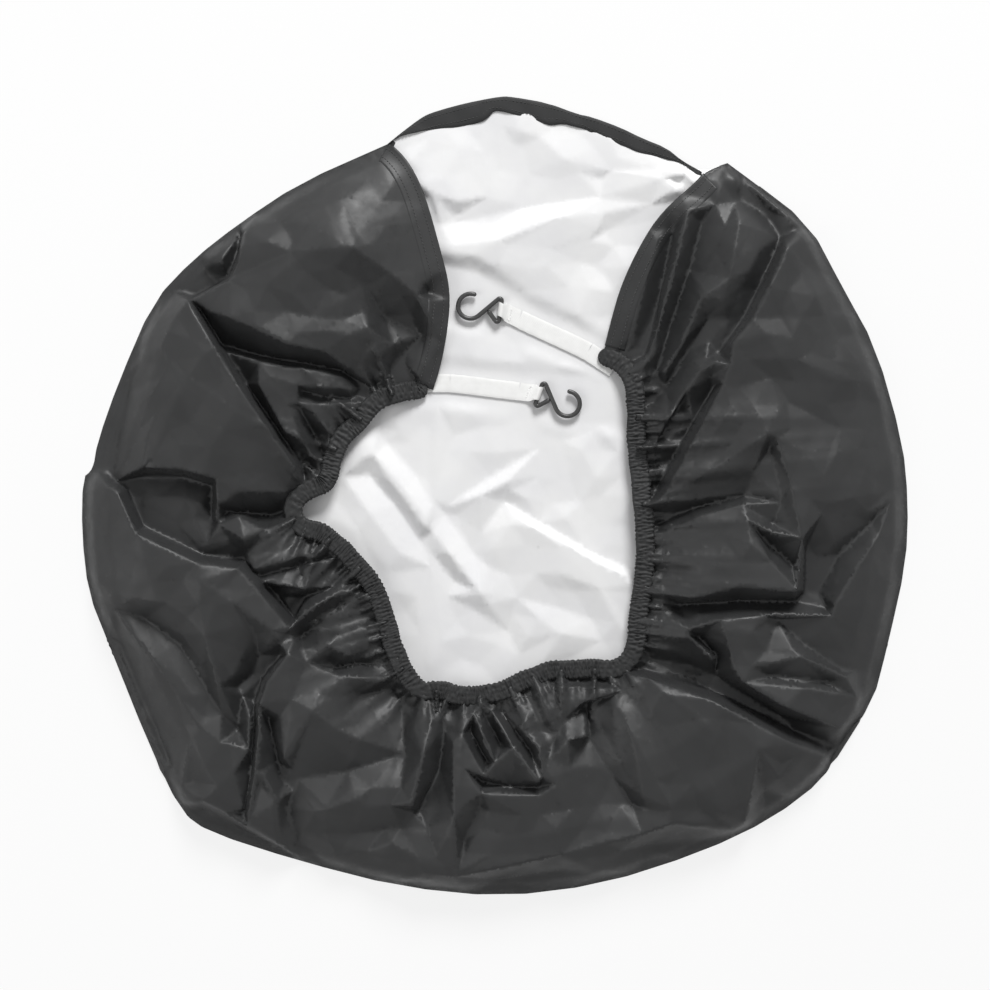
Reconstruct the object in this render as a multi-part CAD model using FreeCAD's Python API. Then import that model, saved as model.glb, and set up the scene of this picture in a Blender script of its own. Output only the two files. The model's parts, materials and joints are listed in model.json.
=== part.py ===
"""Elastic-hemmed wheel cover, lying flat with its open back upwards.

A round face panel lies on the ground with its silver lining up.  A band sewn to its rim rises, folds
inwards and ends in a gathered hem around the opening.  The band stops short of a full turn and leaves a
gap at +Y, where the face panel has a plain hem.  Two elastic straps with wire hooks leave the hem's ends.

Frame: millimetres, +Z up, origin under the middle of the cover on the ground, gap and straps towards +Y.
Cloth pieces are closed solids made of flat facets between two offset surfaces of one shared grid.
"""
import FreeCAD
import Part
import math
import os

V = FreeCAD.Vector
UP = V(0, 0, 1)

# ---- driving dimensions (mm, degrees) ----
cover_width = 741.0          # X, over the rim
cover_length = 717.0         # Y, over the rim
crown_height = 52.0          # top of the folded-in band
hem_height = 16.0            # underside of the gathered hem, away from its ends
cloth_thickness = 0.8        # black outer cloth
lining_thickness = 0.3       # silver lining
contact_gap = 0.3            # running gap between loose pieces

casing_width = 16.0          # gathered tunnel around the opening
casing_height = 4.0
tunnel_wall = 1.0            # cloth above and below the elastic
elastic_width = 9.0
elastic_thickness = 1.2
fold_depth = 5.0             # soft waves of the band
fold_count = 11

end_hem_width = 18.0         # plain hem on each end of the band
end_stitch_rows = (4.0, 13.0)
face_hem_width = 22.0        # plain hem of the face panel in the gap
face_stitch_inset = 17.0
seam_tape_width = 9.0        # tape over the rim seam
seam_tape_thickness = 0.6
seam_tape_inset = 4.0
thread_width = 0.5
thread_height = 0.3

strap_width = 16.3
strap_thickness = 1.2
strap_lift = 0.7             # strap's underside above the lining
tab_length = 20.0            # sewn root of a strap
tab_free_length = 8.0        # part of the root that shows in front of the hem
root_offset = 6.0            # strap's middle from the opening's corner, along the band's end
web_lengths = {"left": (50.0, 20.0), "right": (60.0, 17.0)}   # straight run, turned run
loop_length = 20.0           # from the loop's tail to the hook's bar
loop_width = 12.2            # webbing drawn together inside the ring
loop_neck = 8.0              # length over which the web narrows to the loop
hook_wire = 4.0              # diameter of the hook's wire
ring_side_gap = 0.7          # between the loop's front corners and the ring's two legs
ring_height = 12.5           # bar to the apex where the wire's end meets the shank
hook_reach = 27.0            # bar to the centre of the open hook
hook_radius = 11.1           # centreline of the open hook
hook_end_angle = 100.0       # where the open hook's tip stops, from the shank's axis
ring_corner_radius = 1.9
stitch_length = 2.2
stitch_margin = 1.0          # bare webbing beside a row of stitches
tack_inset = (3.0, 8.0)      # rows that sew a strap's root to the hem, from the hem's end
tack_span = 9.0              # length of such a row
tack_share = 0.4             # where it lies across the casing, from the opening

# Plan outlines as shares of half the width and half the length.
# Rim, counter-clockwise from the band's left end to its right end.
RIM = [(-0.260, 0.880), (-0.472, 0.785), (-0.728, 0.594), (-0.908, 0.290), (-0.985, 0.050),
       (-1.000, -0.120), (-0.934, -0.365), (-0.860, -0.570), (-0.757, -0.787), (-0.690, -0.837),
       (-0.472, -0.910), (-0.229, -0.973), (0.014, -1.000), (0.256, -0.968), (0.500, -0.887),
       (0.669, -0.805), (0.796, -0.704), (0.912, -0.516), (0.949, -0.365), (0.992, -0.165),
       (1.000, -0.014), (0.985, 0.137), (0.919, 0.375), (0.839, 0.526), (0.758, 0.683),
       (0.601, 0.805), (0.500, 0.812)]
# Free edge of the face panel, from the band's right end back to its left end.
GAP = [(0.317, 0.890), (0.159, 0.960), (0.020, 1.000), (-0.110, 0.985)]
# Opening, from the left strap to the right strap, the same way round as the rim.
OPENING = [(-0.152, 0.268), (-0.266, 0.225), (-0.327, 0.187), (-0.370, 0.117), (-0.400, 0.020),
           (-0.405, -0.060), (-0.351, -0.119), (-0.290, -0.195), (-0.254, -0.295), (-0.229, -0.390),
           (-0.180, -0.462), (-0.059, -0.493), (0.070, -0.465), (0.171, -0.416), (0.280, -0.405),
           (0.335, -0.340), (0.346, -0.215), (0.354, -0.064), (0.354, 0.061), (0.350, 0.190),
           (0.328, 0.262), (0.256, 0.323)]
END_BULGE = {"left": 0.092, "right": -0.054}   # sideways bow of each end hem, as shares of half width
BULGE_FADE = 0.2                               # share of the band over which the bow dies out

# Band profile from rim to hem: (share of the way in, share of the crown height).
PROFILE = [(0.0, 0.0), (0.035, 0.42), (0.12, 0.76), (0.30, 1.0), (0.58, 0.95), (0.82, 0.68), (1.0, 0.0)]
STATIONS_PER_HALF = 26
CORNER_SHARE = 0.14           # share of the hem that comes down to each strap

# Strap directions in plan, counter-clockwise from +X: at the root, and at the loop with its hook.
STRAP_ANGLES = {"left": (0.0, -19.0), "right": (147.0, 172.0)}

# ---- heights that follow ----
lining_top = cloth_thickness + lining_thickness
strap_base = lining_top + strap_lift
strap_top = strap_base + strap_thickness
layers = cloth_thickness + lining_thickness
loop_inner_radius = hook_wire / 2 + contact_gap
bar_height = strap_base + strap_thickness + loop_inner_radius
loop_front = loop_inner_radius + strap_thickness
leg_half_width = hook_wire * 0.7      # half of a slanting leg, measured along the bar
ring_half_width = (loop_width / 2 + ring_side_gap + leg_half_width) / (1 - loop_front / ring_height)


# ---- small helpers ----
def lerp(a, b, t):
    return a + (b - a) * t


def smooth(t):
    t = min(1.0, max(0.0, t))
    return t * t * (3 - 2 * t)


def heading(degrees):
    return V(math.cos(math.radians(degrees)), math.sin(math.radians(degrees)), 0)


def scaled(shares):
    return [V(x * cover_width / 2, y * cover_length / 2, 0) for x, y in shares]


def curve_through(points):
    curve = Part.BSplineCurve()
    curve.interpolate(points)
    return curve


def along(curve, distance):
    """Point at a distance along a curve from its start."""
    return curve.value(curve.parameterAtDistance(distance, curve.FirstParameter))


def facet(a, b, c):
    return Part.Face(Part.makePolygon([a, b, c, a]))


def quad(a, b, c, d):
    return [facet(a, b, c), facet(a, c, d)]


def closed_solid(faces):
    shell = Part.makeShell(faces)
    if not shell.isClosed():
        shell.sewShape()
    solid = Part.makeSolid(shell)
    if solid.Volume < 0:
        solid.reverse()
    return solid


def sheet_solid(near, far):
    """Solid between two surfaces, each a grid of points [station][row]."""
    faces = []
    stations, rows = len(near), len(near[0])
    for i in range(stations - 1):
        for k in range(rows - 1):
            faces += quad(near[i][k], near[i + 1][k], near[i + 1][k + 1], near[i][k + 1])
            faces += quad(far[i][k], far[i + 1][k], far[i + 1][k + 1], far[i][k + 1])
        for k in (0, rows - 1):
            faces += quad(near[i][k], near[i + 1][k], far[i + 1][k], far[i][k])
    for k in range(rows - 1):
        for i in (0, stations - 1):
            faces += quad(near[i][k], near[i][k + 1], far[i][k + 1], far[i][k])
    return closed_solid(faces)


def swept_solid(sections):
    """Solid through a list of four-cornered sections."""
    faces = quad(*sections[0]) + quad(*sections[-1])
    for one, two in zip(sections, sections[1:]):
        for j in range(4):
            n = (j + 1) % 4
            faces += quad(one[j], two[j], two[n], one[n])
    return closed_solid(faces)


def tunnel_solid(outer, inner):
    """Tube through four-cornered sections, with a four-cornered tunnel open at both ends."""
    faces = []
    for sections in (outer, inner):
        for one, two in zip(sections, sections[1:]):
            for j in range(4):
                n = (j + 1) % 4
                faces += quad(one[j], two[j], two[n], one[n])
    for end in (0, -1):
        for j in range(4):
            n = (j + 1) % 4
            faces += quad(outer[end][j], outer[end][n], inner[end][n], inner[end][j])
    return closed_solid(faces)


def thread_solid(points, normals, lift):
    """Thin raised line of stitching along points on a surface."""
    sections = []
    for i, (point, normal) in enumerate(zip(points, normals)):
        ahead = points[min(i + 1, len(points) - 1)] - points[max(i - 1, 0)]
        side = ahead.cross(normal).normalize() * (thread_width / 2)
        foot = point + normal * lift
        head = normal * thread_height
        sections.append([foot - side, foot + side, foot + side + head, foot - side + head])
    return swept_solid(sections)


def polygon_slab(points, bottom, height):
    flat = [V(p.x, p.y, bottom) for p in points]
    return Part.Face(Part.makePolygon(flat + flat[:1])).extrude(UP * height)


def inset(points, distance, closed=True):
    """Plan outline moved to its left, which is inwards for a counter-clockwise outline."""
    moved = []
    last = len(points) - 1
    for i, point in enumerate(points):
        before = points[i - 1] if closed or i else point
        after = points[(i + 1) % len(points)] if closed or i < last else point
        side = UP.cross(after - before).normalize()
        moved.append(point + side * distance)
    return moved


# ---- the band's shared grid ----
def station_shares(length):
    """Shares of a curve's length where the band's stations lie, finer at its ends."""
    half = length / 2
    near_end = [0.0, *end_stitch_rows, end_hem_width]
    span = half - end_hem_width
    middle = [end_hem_width + span * (n + 1) / STATIONS_PER_HALF for n in range(STATIONS_PER_HALF)]
    first = near_end + middle
    return [d / length for d in first + [length - d for d in reversed(first[:-1])]]


def hem_underside(share):
    """Height of the hem's underside: low at both straps, hem_height between them."""
    rise = smooth(min(share, 1 - share) / CORNER_SHARE - 0.25)
    return lerp(strap_top, hem_height, rise)


def end_bow(share, reach):
    bow = 0.0
    for side, near in (("left", share), ("right", 1 - share)):
        fade = max(0.0, 1 - near / BULGE_FADE) ** 2
        bow += END_BULGE[side] * cover_width / 2 * fade * math.sin(math.pi * reach)
    return V(bow, 0, 0)


def band_grid():
    """Outer surface of the band as points [station][row], with the opening's edge at each station."""
    rim_curve = curve_through(scaled(RIM))
    hem_curve = curve_through(scaled(OPENING))
    rim_length, hem_length = rim_curve.length(), hem_curve.length()
    grid, edge = [], []
    for rim_share, hem_share in zip(station_shares(rim_length), station_shares(hem_length)):
        rim = along(rim_curve, rim_share * rim_length)
        lip = along(hem_curve, hem_share * hem_length)
        edge.append(lip)
        inner = lip + (rim - lip).normalize() * casing_width
        hem_top = hem_underside(hem_share) + casing_height / 2 + layers / 2
        column = []
        for k, (reach, rise) in enumerate(PROFILE):
            plan = lerp(rim, inner, reach) + end_bow(rim_share, reach)
            floor = lerp(cloth_thickness, hem_top, reach)
            wave = fold_depth * math.cos(2 * math.pi * fold_count * rim_share) * rise
            crown = crown_height - fold_depth - floor
            last = k in (0, len(PROFILE) - 1)
            column.append(V(plan.x, plan.y, floor if last else floor + crown * rise + wave))
        grid.append(column)
    return grid, edge


def grid_normals(grid):
    """Unit vectors into the band: level at the rim, straight down at the hem, square to it between."""
    normals = []
    stations, rows = len(grid), len(grid[0])
    for i in range(stations):
        column = []
        for k in range(rows):
            across = grid[min(i + 1, stations - 1)][k] - grid[max(i - 1, 0)][k]
            inwards = grid[i][min(k + 1, rows - 1)] - grid[i][max(k - 1, 0)]
            normal = inwards.cross(across).normalize()
            if k == 0:
                normal = UP.cross(V(across.x, across.y, 0)).normalize()
            if k == rows - 1:
                normal = -UP
            column.append(normal)
        normals.append(column)
    return normals


def offset_grid(grid, normals, depth):
    return [[p + n * depth for p, n in zip(ps, ns)] for ps, ns in zip(grid, normals)]


# ---- cloth pieces ----
def face_pieces(grid):
    gap_curve = curve_through([grid[-1][0]] + scaled(GAP) + [grid[0][0]])
    count = 14
    free = [along(gap_curve, gap_curve.length() * n / count) for n in range(count + 1)]
    free = [V(p.x, p.y, 0) for p in free]
    rim = [V(column[0].x, column[0].y, 0) for column in grid]
    outline = rim + free[1:-1]
    lining_outline = inset(outline, layers + contact_gap + 0.2)
    hem_path = free[1:-1]
    hem = hem_path + list(reversed(inset(hem_path, face_hem_width, closed=False)))
    stitch = [V(p.x, p.y, 0) for p in inset(hem_path, face_stitch_inset, closed=False)]
    hem_top = lining_top + cloth_thickness
    return {
        "face_panel": polygon_slab(outline, 0, cloth_thickness),
        "face_lining": polygon_slab(lining_outline, cloth_thickness, lining_thickness),
        "face_hem": polygon_slab(hem, lining_top, cloth_thickness),
        "face_hem_thread": thread_solid([p + UP * hem_top for p in stitch], [UP] * len(stitch), 0),
    }


def rim_seam_pieces(grid):
    rim = [V(column[0].x, column[0].y, 0) for column in grid]
    outside = inset(rim, seam_tape_inset, closed=False)[1:-1]
    inside = inset(rim, seam_tape_inset + seam_tape_width, closed=False)[1:-1]
    middle = inset(rim, seam_tape_inset + seam_tape_width / 2, closed=False)[1:-1]
    top = lining_top + seam_tape_thickness
    near = [[a + UP * lining_top, b + UP * lining_top] for a, b in zip(outside, inside)]
    far = [[a + UP * top, b + UP * top] for a, b in zip(outside, inside)]
    path = [p + UP * top for p in middle]
    return {
        "rim_seam_tape": sheet_solid(near, far),
        "rim_seam_thread": thread_solid(path, [UP] * len(path), 0),
    }


def band_pieces(grid, normals):
    cloth_back = offset_grid(grid, normals, cloth_thickness)
    lining_back = offset_grid(grid, normals, layers)
    hem_back = offset_grid(grid, normals, layers + cloth_thickness)
    joint = len(grid) // 2
    halves = {"left": slice(0, joint + 1), "right": slice(joint, None)}
    hem_columns = {"left": slice(0, 4), "right": slice(-4, None)}
    pieces = {}
    for side, half in halves.items():
        pieces[side + "_band"] = sheet_solid(grid[half], cloth_back[half])
        pieces[side + "_band_lining"] = sheet_solid(cloth_back[half], lining_back[half])
        ends = hem_columns[side]
        inner = [column[1:-1] for column in lining_back[ends]]
        turned = [column[1:-1] for column in hem_back[ends]]
        pieces[side + "_end_hem"] = sheet_solid(inner, turned)
        rows = (1, 2) if side == "left" else (-2, -3)
        threads = [
            thread_solid(grid[r][1:-1], [n * -1 for n in normals[r][1:-1]], contact_gap / 2)
            for r in rows
        ]
        pieces[side + "_end_hem_thread"] = Part.makeCompound(threads)
    outwards = [n * -1 for n in normals[joint][1:-1]]
    pieces["band_joint_thread"] = thread_solid(grid[joint][1:-1], outwards, contact_gap / 2)
    return pieces


def casing_section(outer, lip, base, side_wall, floor, ceiling):
    """Four corners of a level section between a band edge and the opening's lip."""
    way = (lip - outer).normalize()
    a, b = outer + way * side_wall, lip - way * side_wall
    return [a + UP * (base + floor), b + UP * (base + floor),
            b + UP * (base + ceiling), a + UP * (base + ceiling)]


def casing_pieces(grid, outer_edge, lip_edge):
    bases = [column[-1].z - casing_height / 2 - layers / 2 for column in grid]
    slack = (casing_width - elastic_width) / 2
    rest = (casing_height - elastic_thickness) / 2
    stations = list(zip(outer_edge, lip_edge, bases))
    shell = [casing_section(*s, 0, 0, casing_height) for s in stations]
    hollow = [casing_section(*s, slack - contact_gap, tunnel_wall, casing_height - tunnel_wall)
              for s in stations]
    tape = [casing_section(*s, slack, rest, rest + elastic_thickness) for s in stations]
    joint = len(grid) // 2
    top_line = [lerp(o, lip, 0.2) + UP * (base + casing_height) for o, lip, base in stations]
    return {
        "left_hem_casing": tunnel_solid(shell[:joint + 1], hollow[:joint + 1]),
        "right_hem_casing": tunnel_solid(shell[joint:], hollow[joint:]),
        "hem_elastic": swept_solid(tape),
        "hem_casing_thread": thread_solid(top_line, [UP] * len(top_line), contact_gap / 2),
    }


# ---- straps and hooks ----
def strap_route(side, start):
    """Plan points of one strap, from its sewn root at the band's end to the hook's bar."""
    root_angle, tail_angle = STRAP_ANGLES[side]
    root_way, mid_way = heading(root_angle), heading((root_angle + tail_angle) / 2)
    first, second = web_lengths[side]
    hinge = start + root_way * tab_free_length
    middle = hinge + root_way * first
    tail = middle + mid_way * second
    return {
        "root": hinge - root_way * tab_length,
        "hinge": hinge,
        "middle": middle,
        "neck": tail - mid_way * loop_neck,
        "tail": tail,
        "bar": tail + heading(tail_angle) * loop_length,
    }


def level_section(centre, angle, width, bottom, top):
    """Four corners of a strap's section, square to the strap's direction."""
    side = heading(angle + 90) * (width / 2)
    return [centre - side + UP * bottom, centre + side + UP * bottom,
            centre + side + UP * top, centre - side + UP * top]


def loop_profile(scale):
    """Closed wire of the folded loop in its own plane: X along the strap, Z up, bar at the origin.

    scale 1 is the outside of the webbing, scale 0 the hollow around the bar.
    """
    radius = loop_inner_radius + scale * strap_thickness
    bottom = -radius
    tail_top = -loop_inner_radius + scale * strap_thickness
    fold = -loop_length * 0.5
    start = -loop_length if scale else fold
    top_point, front, under = V(0, 0, radius), V(radius, 0, 0), V(0, 0, bottom)
    edges = [Part.Arc(top_point, front, under).toShape(),
             Part.makeLine(under, V(start, 0, bottom))]
    if scale:
        edges.append(Part.makeLine(V(start, 0, bottom), V(start, 0, tail_top)))
        edges.append(Part.makeLine(V(start, 0, tail_top), V(fold, 0, tail_top)))
    edges.append(Part.makeLine(V(fold, 0, tail_top), top_point))
    return Part.Wire(edges)


def rounded_corner(at, before, after, radius):
    """Start, tangent arc and end of a bend at one corner of a wire's path."""
    one, two = (before - at).normalize(), (after - at).normalize()
    half_angle = one.getAngle(two) / 2
    reach = radius / math.tan(half_angle)
    inwards = (one + two).normalize()
    hub = at + inwards * (radius / math.sin(half_angle))
    start, end = at + one * reach, at + two * reach
    return start, Part.Arc(start, hub - inwards * radius, end).toShape(), end


def hook_shape():
    """Bent wire in the XY plane: a ring with its bar on the Y axis, then an open hook ahead of it.

    The wire starts beside the shank, runs to the lower corner, along the bar, and leaves the upper
    corner as the straight shank that ends in the open hook.
    """
    apex = V(ring_height, 0, 0)
    top, bottom = V(0, ring_half_width, 0), V(0, -ring_half_width, 0)
    centre = V(hook_reach, 0, 0)
    from_centre = top - centre
    toward = math.degrees(math.atan2(from_centre.y, from_centre.x))
    touch_angle = toward + math.degrees(math.acos(hook_radius / from_centre.Length))
    end_angle = hook_end_angle + 360
    touch = centre + heading(touch_angle) * hook_radius
    halfway = centre + heading((touch_angle + end_angle) / 2) * hook_radius
    tip = centre + heading(end_angle) * hook_radius

    low_start, low_arc, low_end = rounded_corner(bottom, apex, top, ring_corner_radius)
    high_start, high_arc, high_end = rounded_corner(top, bottom, touch, ring_corner_radius)
    start = apex + (bottom - apex).normalize() * (hook_wire + contact_gap)
    path = Part.Wire([
        Part.makeLine(start, low_start), low_arc,
        Part.makeLine(low_end, high_start), high_arc,
        Part.makeLine(high_end, touch),
        Part.Arc(touch, halfway, tip).toShape(),
    ])
    section = Part.Wire(Part.makeCircle(hook_wire / 2, start, low_start - start))
    hook = path.makePipeShell([section], True, True)
    for end in (start, tip):
        hook = hook.fuse(Part.makeSphere(hook_wire / 2, end))
    return hook.removeSplitter().Solids[0]


def placed(shape, angle, position, turned_over=False):
    spin = FreeCAD.Rotation(V(1, 0, 0), 180 if turned_over else 0)
    moved = shape.copy()
    moved.Placement = FreeCAD.Placement(position, FreeCAD.Rotation(UP, angle) * spin)
    return moved


def stitch_row(centre, angle, count, span, bottom):
    """Short raised stitches, end to end across a strap that points along an angle."""
    across = heading(angle + 90)
    pitch = span / count
    stitches = []
    for n in range(count):
        middle = centre + across * (pitch * (n + 0.5) - span / 2)
        ends = [middle + across * (stitch_length / 2 * way) for way in (-1, 1)]
        stitches.append(swept_solid([
            level_section(end, angle + 90, thread_width, bottom, bottom + thread_height)
            for end in ends
        ]))
    return stitches


def loop_solid(tail_angle, bar):
    """Webbing folded back around the hook's bar, with the hollow that the bar turns in."""
    across = heading(tail_angle + 90) * loop_width
    start = bar - across / 2
    outside = placed(Part.Face(loop_profile(1)), tail_angle, start).extrude(across)
    hollow = placed(Part.Face(loop_profile(0)), tail_angle, start).extrude(across)
    return outside.cut(hollow).Solids[0]


def strap_pieces(side, outer_edge, lip_edge):
    end = 0 if side == "left" else -1
    inward = 1 if side == "left" else -1
    route = strap_route(side, lerp(lip_edge[end], outer_edge[end], root_offset / casing_width))
    root_angle, tail_angle = STRAP_ANGLES[side]
    mid_angle = (root_angle + tail_angle) / 2

    def section(name, angle, width):
        return level_section(route[name], angle, width, strap_base, strap_top)

    tab = swept_solid([section(name, root_angle, strap_width) for name in ("root", "hinge")])
    web = swept_solid([
        section("hinge", root_angle, strap_width),
        section("middle", (root_angle + mid_angle) / 2, strap_width),
        section("neck", mid_angle, strap_width),
        section("tail", tail_angle, loop_width),
    ])
    bar = route["bar"] + UP * bar_height
    print(f"{side} strap: hinge {route['hinge'] + UP * strap_top}, bar {bar}")

    sewn_top = strap_base + 2 * strap_thickness
    loop_rows = []
    for share in (0.15, 0.38):
        middle = lerp(route["tail"], route["bar"], share)
        loop_rows += stitch_row(middle, tail_angle, 3, loop_width - stitch_margin, sewn_top)

    next_end = end + 3 * inward
    hem_end = lerp(lip_edge[end], outer_edge[end], tack_share)
    hem_way = (lerp(lip_edge[next_end], outer_edge[next_end], tack_share) - hem_end).normalize()
    tack_angle = math.degrees(math.atan2(hem_way.y, hem_way.x))
    tack_rows = []
    for distance in tack_inset:
        tack_rows += stitch_row(hem_end + hem_way * distance, tack_angle, 3, tack_span,
                                strap_top + casing_height)
    return {
        side + "_strap_tab": tab,
        side + "_strap_web": web,
        side + "_strap_loop": loop_solid(tail_angle, bar),
        side + "_hook": placed(hook_shape(), tail_angle, bar, turned_over=side == "right"),
        side + "_loop_stitches": Part.makeCompound(loop_rows),
        side + "_root_stitches": Part.makeCompound(tack_rows),
    }


def write(pieces):
    os.makedirs("parts", exist_ok=True)
    for name, shape in sorted(pieces.items()):
        shape.exportStep(f"parts/{name}.step")
        print(f"{name:24s} solids {len(shape.Solids)}  valid {shape.isValid()}  {shape.Volume:10.1f} mm3")


grid, lip_edge = band_grid()
normals = grid_normals(grid)
lip_edge = [V(p.x, p.y, 0) for p in lip_edge]
outer_edge = [V(column[-1].x, column[-1].y, 0) for column in grid]

pieces = face_pieces(grid) | rim_seam_pieces(grid) | band_pieces(grid, normals)
pieces |= casing_pieces(grid, outer_edge, lip_edge)
for side in ("left", "right"):
    pieces |= strap_pieces(side, outer_edge, lip_edge)
write(pieces)
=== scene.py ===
"""Looks of a spare tire cover lying flat with its open back up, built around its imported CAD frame."""
import json
import math

import bmesh
import bpy
import numpy as np
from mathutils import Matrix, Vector, geometry, kdtree
from mathutils.bvhtree import BVHTree


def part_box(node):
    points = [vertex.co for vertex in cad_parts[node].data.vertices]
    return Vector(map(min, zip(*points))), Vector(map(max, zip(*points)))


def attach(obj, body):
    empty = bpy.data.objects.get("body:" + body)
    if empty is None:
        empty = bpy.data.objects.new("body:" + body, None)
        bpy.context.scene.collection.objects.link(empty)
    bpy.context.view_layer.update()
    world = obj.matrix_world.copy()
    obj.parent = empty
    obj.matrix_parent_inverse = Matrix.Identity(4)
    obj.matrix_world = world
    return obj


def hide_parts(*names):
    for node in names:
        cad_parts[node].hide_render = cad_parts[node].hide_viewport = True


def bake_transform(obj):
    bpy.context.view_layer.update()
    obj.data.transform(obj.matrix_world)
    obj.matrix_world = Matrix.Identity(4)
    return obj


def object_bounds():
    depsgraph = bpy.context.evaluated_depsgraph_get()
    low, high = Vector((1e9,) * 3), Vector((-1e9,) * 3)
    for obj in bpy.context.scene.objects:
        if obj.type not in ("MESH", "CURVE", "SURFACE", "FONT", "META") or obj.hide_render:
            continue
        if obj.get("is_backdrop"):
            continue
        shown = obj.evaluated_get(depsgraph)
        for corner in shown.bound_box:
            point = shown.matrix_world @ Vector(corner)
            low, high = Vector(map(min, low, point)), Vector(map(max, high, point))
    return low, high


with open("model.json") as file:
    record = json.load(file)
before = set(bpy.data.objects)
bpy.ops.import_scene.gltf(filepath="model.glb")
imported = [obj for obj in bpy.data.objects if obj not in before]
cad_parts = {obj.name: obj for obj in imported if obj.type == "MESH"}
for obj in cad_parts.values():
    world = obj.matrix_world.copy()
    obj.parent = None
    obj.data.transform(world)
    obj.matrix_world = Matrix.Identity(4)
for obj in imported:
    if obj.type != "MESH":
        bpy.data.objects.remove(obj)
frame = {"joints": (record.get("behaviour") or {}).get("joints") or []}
CAD_LOW, CAD_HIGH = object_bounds()

MM = 0.001
rng = np.random.default_rng(11)

# ---- driving sizes, in mm ----
DRAWN_WIDTH, DRAWN_LENGTH = 741.0, 717.0    # the cover that the outlines below describe
CLOTH = 0.9                                 # black cloth with its lining
CASING_WIDTH = 17.0                         # gathered hem round the opening
CASING_THICKNESS = 3.6
CROWN = 27.0                                # rise of the folded-in band over its rim and hem
END_HEM_WIDTH = 18.0
END_STITCH_ROWS = (4.5, 13.0)
STRAP_WIDTH = 16.3
STRAP_THICKNESS = 1.2
FOLD_SCALE = 1.6                            # the folds' height over what is listed below
LINING_SCALE = 2.0
GRAIN = 3.3               # spacing of the band's mesh
HEM_GRAIN = 1.7           # and beside its gathered hem
RUFFLE_GRAIN = 0.7        # and along the gathered hem itself
FACE_GRAIN = 3.0          # spacing of the face's mesh
RIM_ROWS = (1.2, 3.0, 5.5, 8.5, 12.0)       # depths of the rows of points that keep the rim crisp
RIM_HEIGHT = 0.9                            # top of the band at the rim
BAND_LOW = 4.2                              # least height of the band elsewhere, clear of the straps
PUCKER_PITCH = 3.6                          # of the gathered hem
FACE_HEIGHT = 1.1                           # top of the lining where it lies flat
LOOP_WIDTH = 12.2                           # webbing drawn together on the hook's bar
LOOP_SPAN = 10.0                            # from the loop's middle to either end
FLOOR_LEVEL = -0.3                          # a hair under the cover, so that the two don't share a plane

# ---- outlines in plan, points (x, y) in mm ----
RIM = [(-96, 316), (-175, 281), (-229, 245), (-270, 213), (-306, 175), (-337, 103), (-356, 49), (-360, 24),
       (-369, 18), (-370, -32), (-364, -86), (-346, -131), (-310, -221), (-281, -282), (-256, -300),
       (-175, -326), (-85, -349), (5, -358), (95, -347), (185, -318), (248, -288), (295, -252), (307, -225),
       (338, -185), (352, -131), (368, -59), (370, -5), (365, 49), (341, 134), (311, 188), (281, 245),
       (223, 288), (208, 299)]
LEFT_END = [(-96, 316), (-90, 313), (-76, 297), (-63, 270), (-49, 220), (-40, 184), (-43, 148), (-49, 117),
            (-56, 96)]
OPENING = [(-56, 95), (-64, 87), (-82, 85), (-96, 80), (-105, 74), (-115, 59), (-130, 48), (-135, 33),
           (-140, 15), (-147, 4), (-162, -1), (-171, -9), (-169, -19), (-153, -22), (-142, -29),
           (-122, -47), (-102, -71), (-94, -87), (-89, -105), (-84, -123), (-78, -141), (-63, -166),
           (-57, -163), (-44, -163), (-31, -169), (-4, -167), (22, -155), (49, -144), (62, -145),
           (89, -143), (102, -146), (113, -141), (117, -127), (119, -100), (125, -56), (125, -42),
           (121, 11), (117, 46), (117, 89), (115, 102), (109, 111), (100, 116), (91, 117)]
RIGHT_END = [(91, 119), (97, 128), (104, 157), (113, 189), (130, 225), (149, 254), (180, 281), (187, 290),
             (208, 299)]
GAP = [(208, 299), (185, 291), (167, 301), (154, 312), (131, 321), (113, 330), (86, 340), (75, 342),
       (48, 352), (14, 358), (5, 358), (-13, 355), (-38, 349), (-58, 343), (-66, 339), (-85, 325), (-96, 316)]
FACE_HEM_INNER = [(185, 285), (176, 292), (167, 299), (149, 303), (131, 307), (117, 313), (108, 316),
                  (93, 324), (86, 325), (81, 329), (72, 331), (61, 334), (49, 332), (41, 335), (23, 340),
                  (11, 344), (-1, 346), (-6, 339), (-13, 335), (-31, 331), (-49, 329), (-62, 328), (-76, 325),
                  (-85, 324)]

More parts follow.
